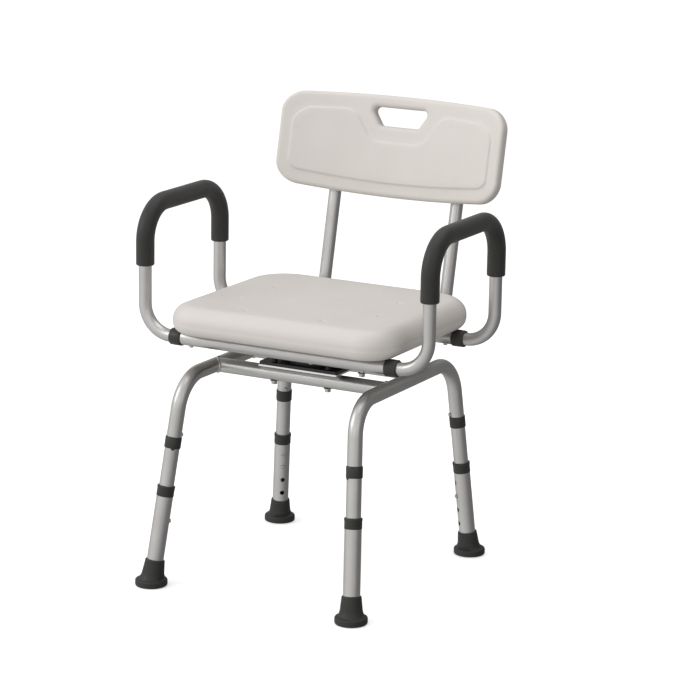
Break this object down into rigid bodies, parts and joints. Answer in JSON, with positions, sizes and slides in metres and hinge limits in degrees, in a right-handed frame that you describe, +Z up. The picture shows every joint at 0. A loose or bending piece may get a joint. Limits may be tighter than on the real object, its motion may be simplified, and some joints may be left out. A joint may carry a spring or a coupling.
{
  "type": "swivel shower chair",
  "caption": "Swivel shower chair: moulded seat on a ball-bearing turntable, padded arms, curved back and splayed telescoping legs on rubber feet.",
  "frame": {"origin": "on the floor, under the middle of the chair's bounding box", "axes": "+X towards the viewer's right from in front, +Y to the back of the chair, +Z up"},
  "size_m": [0.5764, 0.5706, 0.7894],
  "materials": {
    "anodised_aluminium": "satin anodised",
    "plate_aluminium": "mill finish, cut edge bright",
    "white_plastic": "fine blow-moulded grain, semi-matte",
    "grip_foam": "closed-cell foam skin",
    "black_rubber": "matt rubber",
    "black_plastic": "moulded nylon",
    "cage_plastic": "moulded nylon",
    "bright_steel": "zinc plated",
    "dark_steel": "black coated"
  },
  "bodies": {
    "base": {"base_side_tube_left": "anodised_aluminium", "base_side_tube_right": "anodised_aluminium", "base_cross_tube_front": "anodised_aluminium", "base_cross_tube_rear": "anodised_aluminium", "base_plate_bolts": "bright_steel", "base_plate_nuts": "bright_steel", "swivel_base_plate": "plate_aluminium", "swivel_base_pad": "black_rubber", "swivel_lower_race": "dark_steel", "swivel_pivot_bolt": "bright_steel", "swivel_pivot_nut": "bright_steel", "leg_socket_collars": "black_plastic", "leg_extension_tube_front_left": "anodised_aluminium", "leg_extension_tube_rear_left": "anodised_aluminium", "leg_extension_tube_front_right": "anodised_aluminium", "leg_extension_tube_rear_right": "anodised_aluminium"},
    "ball_ring": {"swivel_balls": "bright_steel", "swivel_ball_cage": "cage_plastic"},
    "seat": {"swivel_upper_race": "dark_steel", "swivel_top_plate": "dark_steel", "top_plate_bolts": "bright_steel", "seat_cross_tube_front": "anodised_aluminium", "seat_cross_tube_rear": "anodised_aluminium", "seat_rails": "anodised_aluminium", "back_sockets": "anodised_aluminium", "seat_panel": "white_plastic", "seat_panel_screws": "bright_steel", "arm_tube_left": "anodised_aluminium", "arm_tube_right": "anodised_aluminium", "arm_grip_left": "grip_foam", "arm_grip_right": "grip_foam", "arm_socket_collars": "black_plastic", "back_upright_left": "anodised_aluminium", "back_upright_right": "anodised_aluminium", "back_panel": "white_plastic", "back_panel_screws": "bright_steel"},
    "leg_front_left": {"leg_lower_tube_front_left": "anodised_aluminium", "leg_lower_collar_front_left": "black_plastic", "leg_foot_front_left": "black_rubber"},
    "leg_rear_left": {"leg_lower_tube_rear_left": "anodised_aluminium", "leg_lower_collar_rear_left": "black_plastic", "leg_foot_rear_left": "black_rubber"},
    "leg_front_right": {"leg_lower_tube_front_right": "anodised_aluminium", "leg_lower_collar_front_right": "black_plastic", "leg_foot_front_right": "black_rubber"},
    "leg_rear_right": {"leg_lower_tube_rear_right": "anodised_aluminium", "leg_lower_collar_rear_right": "black_plastic", "leg_foot_rear_right": "black_rubber"},
    "socket_button_front_left": {"leg_socket_button_front_left": "bright_steel"},
    "height_button_front_left": {"leg_height_button_front_left": "bright_steel"},
    "arm_button_front_left": {"arm_button_front_left": "bright_steel"},
    "socket_button_rear_left": {"leg_socket_button_rear_left": "bright_steel"},
    "height_button_rear_left": {"leg_height_button_rear_left": "bright_steel"},
    "arm_button_rear_left": {"arm_button_rear_left": "bright_steel"},
    "socket_button_front_right": {"leg_socket_button_front_right": "bright_steel"},
    "height_button_front_right": {"leg_height_button_front_right": "bright_steel"},
    "arm_button_front_right": {"arm_button_front_right": "bright_steel"},
    "socket_button_rear_right": {"leg_socket_button_rear_right": "bright_steel"},
    "height_button_rear_right": {"leg_height_button_rear_right": "bright_steel"},
    "arm_button_rear_right": {"arm_button_rear_right": "bright_steel"}
  },
  "joints": [
    {"name": "seat_swivel", "type": "hinge", "parent": "base", "child": "seat", "pos_m": [0, -0.0284, 0.387], "axis": [0, 0, 1], "continuous": true},
    {"name": "ball_ring_roll", "type": "hinge", "parent": "base", "child": "ball_ring", "pos_m": [0, -0.0284, 0.387], "axis": [0, 0, 1], "continuous": true},
    {"name": "leg_height_front_left", "type": "slide", "parent": "base", "child": "leg_front_left", "axis": [-0.0763, -0.1548, -0.985], "range_m": [-0.0508, 0.0254], "deforming": ["leg_height_button_front_left"]},
    {"name": "leg_height_rear_left", "type": "slide", "parent": "base", "child": "leg_rear_left", "axis": [-0.0769, 0.0908, -0.9929], "range_m": [-0.0508, 0.0254], "deforming": ["leg_height_button_rear_left"]},
    {"name": "leg_height_front_right", "type": "slide", "parent": "base", "child": "leg_front_right", "axis": [0.0763, -0.1548, -0.985], "range_m": [-0.0508, 0.0254], "deforming": ["leg_height_button_front_right"]},
    {"name": "leg_height_rear_right", "type": "slide", "parent": "base", "child": "leg_rear_right", "axis": [0.0769, 0.0908, -0.9929], "range_m": [-0.0508, 0.0254], "deforming": ["leg_height_button_rear_right"]},
    {"name": "socket_button_press_front_left", "type": "slide", "parent": "base", "child": "socket_button_front_left", "axis": [-0.639, -0.7507, 0.1675], "range_m": [0, 0.0045], "stiffness_N_per_m": 1500, "springref_m": -0.002},
    {"name": "height_button_press_front_left", "type": "slide", "parent": "base", "child": "height_button_front_left", "axis": [-0.639, -0.7507, 0.1675], "range_m": [0, 0.0043], "stiffness_N_per_m": 1500, "springref_m": -0.002},
    {"name": "arm_button_press_front_left", "type": "slide", "parent": "seat", "child": "arm_button_front_left", "axis": [0, 0, 1], "range_m": [0, 0.0045], "stiffness_N_per_m": 1500, "springref_m": -0.002},
    {"name": "socket_button_press_rear_left", "type": "slide", "parent": "base", "child": "socket_button_rear_left", "axis": [-0.6382, 0.7606, 0.119], "range_m": [0, 0.0045], "stiffness_N_per_m": 1500, "springref_m": -0.002},
    {"name": "height_button_press_rear_left", "type": "slide", "parent": "base", "child": "height_button_rear_left", "axis": [-0.6382, 0.7606, 0.119], "range_m": [0, 0.0043], "stiffness_N_per_m": 1500, "springref_m": -0.002},
    {"name": "arm_button_press_rear_left", "type": "slide", "parent": "seat", "child": "arm_button_rear_left", "axis": [0, 0, 1], "range_m": [0, 0.0045], "stiffness_N_per_m": 1500, "springref_m": -0.002},
    {"name": "socket_button_press_front_right", "type": "slide", "parent": "base", "child": "socket_button_front_right", "axis": [0.639, -0.7507, 0.1675], "range_m": [0, 0.0045], "stiffness_N_per_m": 1500, "springref_m": -0.002},
    {"name": "height_button_press_front_right", "type": "slide", "parent": "base", "child": "height_button_front_right", "axis": [0.639, -0.7507, 0.1675], "range_m": [0, 0.0043], "stiffness_N_per_m": 1500, "springref_m": -0.002},
    {"name": "arm_button_press_front_right", "type": "slide", "parent": "seat", "child": "arm_button_front_right", "axis": [0, 0, 1], "range_m": [0, 0.0045], "stiffness_N_per_m": 1500, "springref_m": -0.002},
    {"name": "socket_button_press_rear_right", "type": "slide", "parent": "base", "child": "socket_button_rear_right", "axis": [0.6382, 0.7606, 0.119], "range_m": [0, 0.0045], "stiffness_N_per_m": 1500, "springref_m": -0.002},
    {"name": "height_button_press_rear_right", "type": "slide", "parent": "base", "child": "height_button_rear_right", "axis": [0.6382, 0.7606, 0.119], "range_m": [0, 0.0043], "stiffness_N_per_m": 1500, "springref_m": -0.002},
    {"name": "arm_button_press_rear_right", "type": "slide", "parent": "seat", "child": "arm_button_rear_right", "axis": [0, 0, 1], "range_m": [0, 0.0045], "stiffness_N_per_m": 1500, "springref_m": -0.002}
  ],
  "couplings": [
    {"joint": "ball_ring_roll", "follows": "seat_swivel", "ratio": 0.5}
  ]
}
